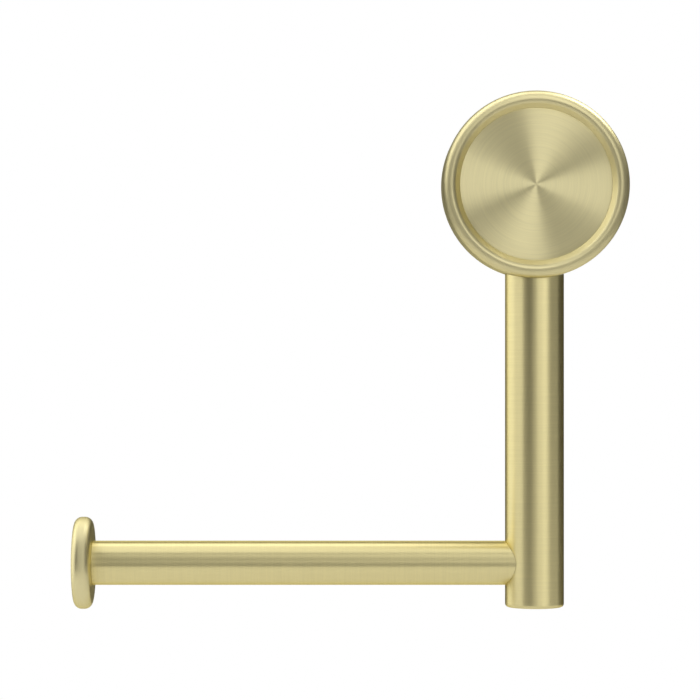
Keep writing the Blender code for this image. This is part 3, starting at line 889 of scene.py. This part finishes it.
# Soft boxes: name, azimuth from straight ahead towards the right, elevation, width, height and
# brightness, where 1 shines as bright as the white behind the holder. These numbers weren't
# chosen by hand: separate lamp-fitting programs gave all but Back_Left_Box and Floor_Box. They
# were then rounded, and some of the brightnesses were adjusted.
ROOM_BOXES = (
    ("Left_Wall_Box", -92, 28, 4.0, 2.7, 1.05),
    ("Left_Low_Box", -117, -2, 2.0, 0.95, 0.35),
    ("Right_Front_Box", 24, 2, 2.8, 0.95, 0.4),
    ("Right_Front_High_Box", 28, 29, 1.6, 1.8, 1.1),
    ("High_Strip", 21, 41, 2.1, 0.4, 0.2),
    ("Overhead_Box", -17, 89, 2.4, 2.4, 1.0),
    ("Back_High_Box", -170, 62, 1.8, 1.0, 0.7),
    ("Right_Low_Box", 66, -27, 3.2, 2.0, 0.6),
    ("Back_Left_Box", -165, 22, 2.0, 1.2, 0.8),
)
# The drum, its face plate and the end cap each have soft boxes of their own, because one set for
# every piece left their highlights in the wrong places
DRUM_BOXES = (
    ("Drum_Left_Box", -74, 14, 0.7, 0.7, 2.6),
    ("Drum_Left_High_Box", -76, 44, 1.7, 1.45, 1.7),
    ("Drum_Front_Box", 10, 26, 0.7, 1.55, 2.7),
    ("Drum_Front_High_Box", -17, 46, 1.75, 1.6, 0.3),
    ("Drum_Right_High_Box", 103, 57, 0.7, 1.1, 9.8),
    ("Drum_Overhead_Box", -104, 77, 0.7, 1.25, 3.7),
)
FACE_BOXES = (
    ("Face_Right_Box", 27, 13, 2.3, 2.25, 0.5),
    ("Face_Far_Right_Box", 57, 5, 1.25, 1.25, 1.15),
    ("Face_High_Box", 17, 42, 1.0, 1.5, 1.85),
    ("Face_Left_Box", -38, 11, 1.25, 1.15, 1.25),
    ("Face_Wide_Left_Box", -41, 16, 2.2, 2.15, 0.64),
)
CAP_BOXES = (
    ("Cap_Overhead_Box", -105, 70, 2.3, 3.3, 1.0),
    ("Cap_Left_Box", -98, 11, 3.2, 2.3, 1.1),
    ("Cap_Right_High_Box", 111, 57, 1.8, 1.4, 1.0),
    ("Cap_Front_Box", 15, 26, 2.6, 3.1, 0.57),
    ("Cap_Back_High_Box", 179, 47, 3.2, 1.35, 0.9),
)
# The floor gets more light than the room gives it, so that it stays pale
FLOOR_BOXES = (("Floor_Box", 0, 85, 2.5, 2.5, 0.22),)
SOFT_BOX_DISTANCE = 2.0
SENSOR_WIDTH = 36  # in millimetres, as a camera's lens is


class PAPERHOLDER_OT_stage(bpy.types.Operator):
    """Build the floor, the soft light and the camera"""

    bl_idname = "paper_holder.stage"
    bl_label = "Stage"

    def execute(self, context):
        studio = settings_of("studio")
        self.floor(studio)
        self.world(context, studio)
        others = [piece for piece in context.scene.objects if piece.type == "MESH"]
        own_boxes = {"drum_shell": DRUM_BOXES, "face_disc": FACE_BOXES, "end_button": CAP_BOXES}
        for name, boxes in own_boxes.items():
            piece = bpy.data.objects[name]
            others.remove(piece)
            self.soft_boxes(context, f"{name}_light", boxes, [piece])
        self.soft_boxes(context, "room_light", ROOM_BOXES, others)
        self.soft_boxes(context, "floor_light", FLOOR_BOXES, [bpy.data.objects["studio_floor"]])
        self.camera(context, studio)
        context.scene.view_settings.view_transform = "Standard"
        return {"FINISHED"}

    def floor(self, studio):
        """A plain pale disc below the holder."""
        shape = bmesh.new()
        bmesh.ops.create_circle(
            shape, cap_ends=True, segments=FINE_STEPS, radius=studio.floor_radius
        )
        place = (0, centre_of("bar").y, -studio.floor_drop)
        bmesh.ops.translate(shape, vec=place, verts=shape.verts)
        floor = new_object("studio_floor", shape)
        floor.data.materials.append(floor_board())

    def world(self, context, studio):
        """White behind the holder, and an even soft light from all round."""
        world = bpy.data.worlds.new("Studio")
        context.scene.world = world
        world.use_nodes = True
        tree = world.node_tree
        tree.nodes.clear()
        seen = add_node(tree, "ShaderNodeLightPath")
        white = add_node(tree, "ShaderNodeBackground", {"Color": WHITE, "Strength": 1.0})
        fill = add_node(tree, "ShaderNodeBackground", {"Color": WHITE, "Strength": studio.fill})
        mix = add_node(
            tree, "ShaderNodeMixShader", {},
            {0: seen.outputs["Is Camera Ray"], 1: fill.outputs[0], 2: white.outputs[0]},
        )
        add_node(tree, "ShaderNodeOutputWorld", {}, {"Surface": mix.outputs[0]})

    def soft_boxes(self, context, name, boxes, pieces):
        """Rectangular soft boxes turned towards the holder, which light only the given pieces and
        don't show themselves."""
        lit = bpy.data.collections.new(name)
        for piece in pieces:
            lit.objects.link(piece)
        middle = centre_of("bar")
        for title, azimuth, elevation, width, height, brightness in boxes:
            lamp = bpy.data.lights.new(title, "AREA")
            lamp.shape = "RECTANGLE"
            lamp.size, lamp.size_y = width, height
            lamp.energy = brightness * width * height * math.pi
            box = bpy.data.objects.new(title, lamp)
            context.scene.collection.objects.link(box)
            side, rise = math.radians(azimuth), math.radians(elevation)
            away = Vector(
                (math.sin(side) * math.cos(rise), -math.cos(side) * math.cos(rise), math.sin(rise))
            )
            box.location = Vector((0, middle.y, middle.z)) + away * SOFT_BOX_DISTANCE
            box.rotation_euler = away.to_track_quat("Z", "Y").to_euler()
            box.visible_camera = False
            box.light_linking.receiver_collection = lit

    def camera(self, context, studio):
        """A long lens level with the middle of the holder."""
        lens = bpy.data.cameras.new("Camera")
        lens.lens = studio.lens
        lens.sensor_width = SENSOR_WIDTH
        camera = bpy.data.objects.new("Camera", lens)
        context.scene.collection.objects.link(camera)
        bar = centre_of("bar")
        camera.location = (
            -studio.camera_left,
            bar.y - studio.camera_distance,
            bar.z + studio.camera_above_bar,
        )
        camera.rotation_euler = (math.pi / 2, 0, 0)
        context.scene.camera = camera


class PAPERHOLDER_PT_panel(bpy.types.Panel):
    """Lists the pieces, the stage and the settings in the sidebar"""

    bl_idname = "PAPERHOLDER_PT_panel"
    bl_label = "Toilet Paper Holder"
    bl_space_type = "VIEW_3D"
    bl_region_type = "UI"
    bl_category = "Paper Holder"

    def draw(self, context):
        layout = self.layout
        for operator in OPERATORS:
            layout.operator(operator.bl_idname)
        for group, settings in GROUPS.items():
            box = layout.box()
            box.label(text=group.title())
            for name in settings.__annotations__:
                box.prop(settings_of(group), name)


OPERATORS = (
    PAPERHOLDER_OT_drum,
    PAPERHOLDER_OT_face_plate,
    PAPERHOLDER_OT_drop_tube,
    PAPERHOLDER_OT_bar,
    PAPERHOLDER_OT_end_cap,
    PAPERHOLDER_OT_post,
    PAPERHOLDER_OT_wall_flange,
    PAPERHOLDER_OT_wall_bracket,
    PAPERHOLDER_OT_wall_screws,
    PAPERHOLDER_OT_wall_plugs,
    PAPERHOLDER_OT_grub_screw,
    PAPERHOLDER_OT_inner_fittings,
    PAPERHOLDER_OT_stage,
)
GROUPS = {
    "sizes": PaperHolderSizes,
    "colours": PaperHolderColours,
    "studio": PaperHolderStudio,
}
CLASSES = (*GROUPS.values(), *OPERATORS, PAPERHOLDER_PT_panel)


def register():
    for item in CLASSES:
        bpy.utils.register_class(item)
    for group, settings in GROUPS.items():
        pointer = bpy.props.PointerProperty(type=settings)
        setattr(bpy.types.Scene, f"paper_holder_{group}", pointer)


def unregister():
    for group in GROUPS:
        delattr(bpy.types.Scene, f"paper_holder_{group}")
    for item in reversed(CLASSES):
        bpy.utils.unregister_class(item)


def main():
    register()
    bpy.ops.paper_holder.drum()
    bpy.ops.paper_holder.face_plate()
    bpy.ops.paper_holder.drop_tube()
    bpy.ops.paper_holder.bar()
    bpy.ops.paper_holder.end_cap()
    bpy.ops.paper_holder.post()
    bpy.ops.paper_holder.wall_flange()
    bpy.ops.paper_holder.wall_bracket()
    bpy.ops.paper_holder.wall_screws()
    bpy.ops.paper_holder.wall_plugs()
    bpy.ops.paper_holder.grub_screw()
    bpy.ops.paper_holder.inner_fittings()
    bpy.ops.paper_holder.stage()


if __name__ == "__main__":
    main()
